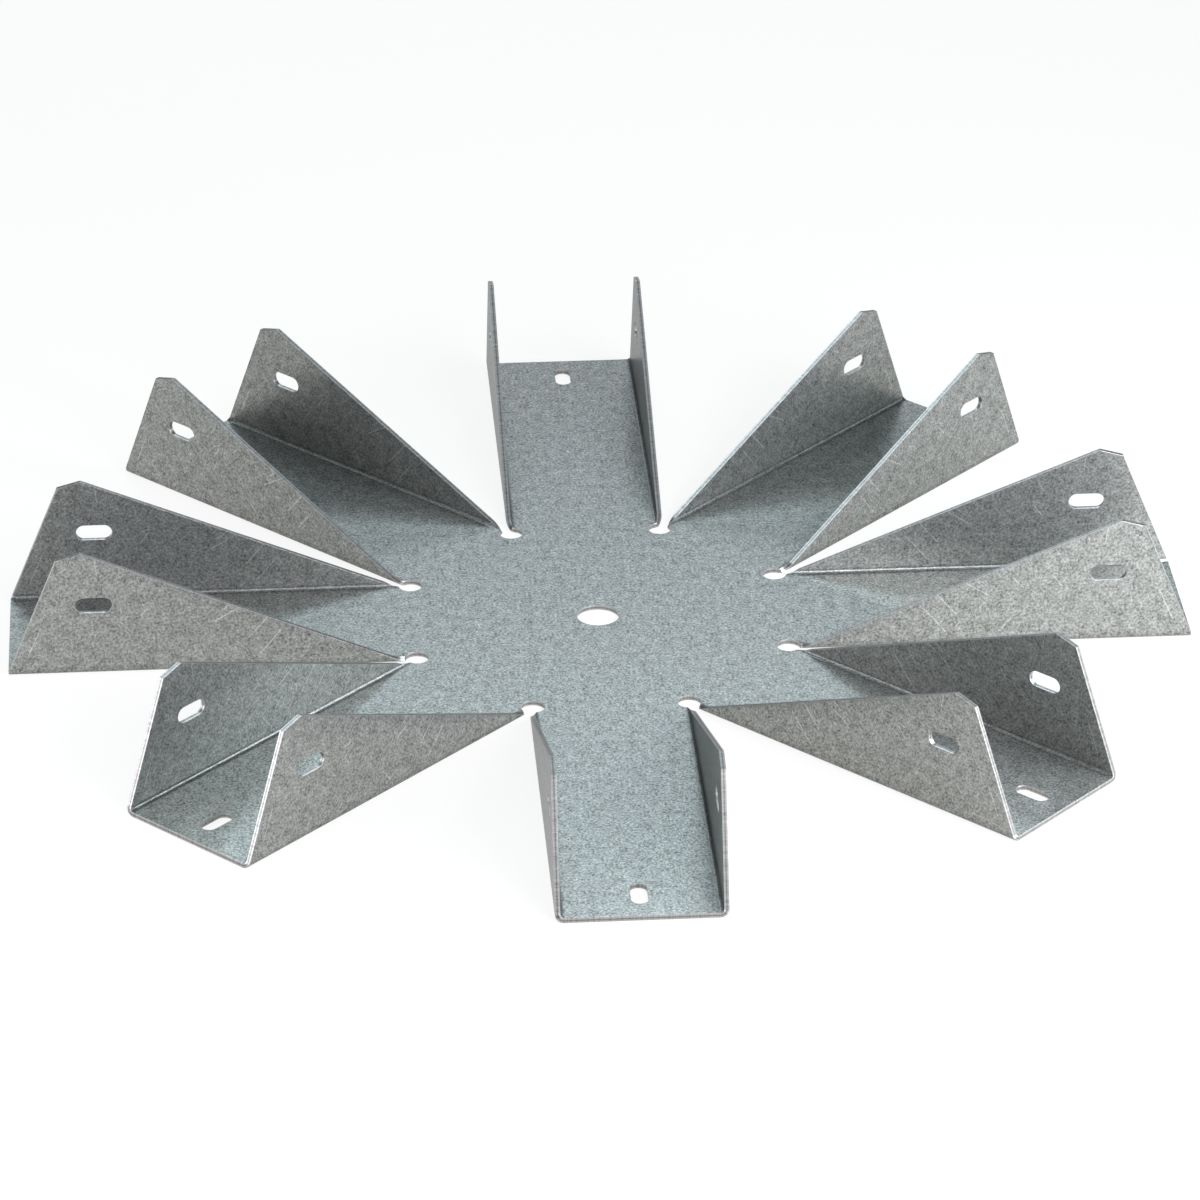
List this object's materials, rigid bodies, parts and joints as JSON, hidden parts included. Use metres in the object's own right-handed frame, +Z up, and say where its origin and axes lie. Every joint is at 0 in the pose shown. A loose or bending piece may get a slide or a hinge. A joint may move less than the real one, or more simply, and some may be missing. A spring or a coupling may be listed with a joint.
{
  "type": "gazebo tie",
  "caption": "Folded sheet-steel roof tie: open channels radiate from a flat hub to seat and fasten rafter ends, with slots for screws and a centre hole.",
  "frame": {"origin": "centre of the hub on its underside", "axes": "+Z up, out of the open side of the channels; one arm points along +X and one along +Y"},
  "size_m": [0.3086, 0.3086, 0.0351],
  "materials": {
    "galvanised_steel": "hot-dip galvanised, matt to satin, fine zinc speckle"
  },
  "bodies": {
    "root": {"gazebo_tie": "galvanised_steel"}
  },
  "joints": []
}
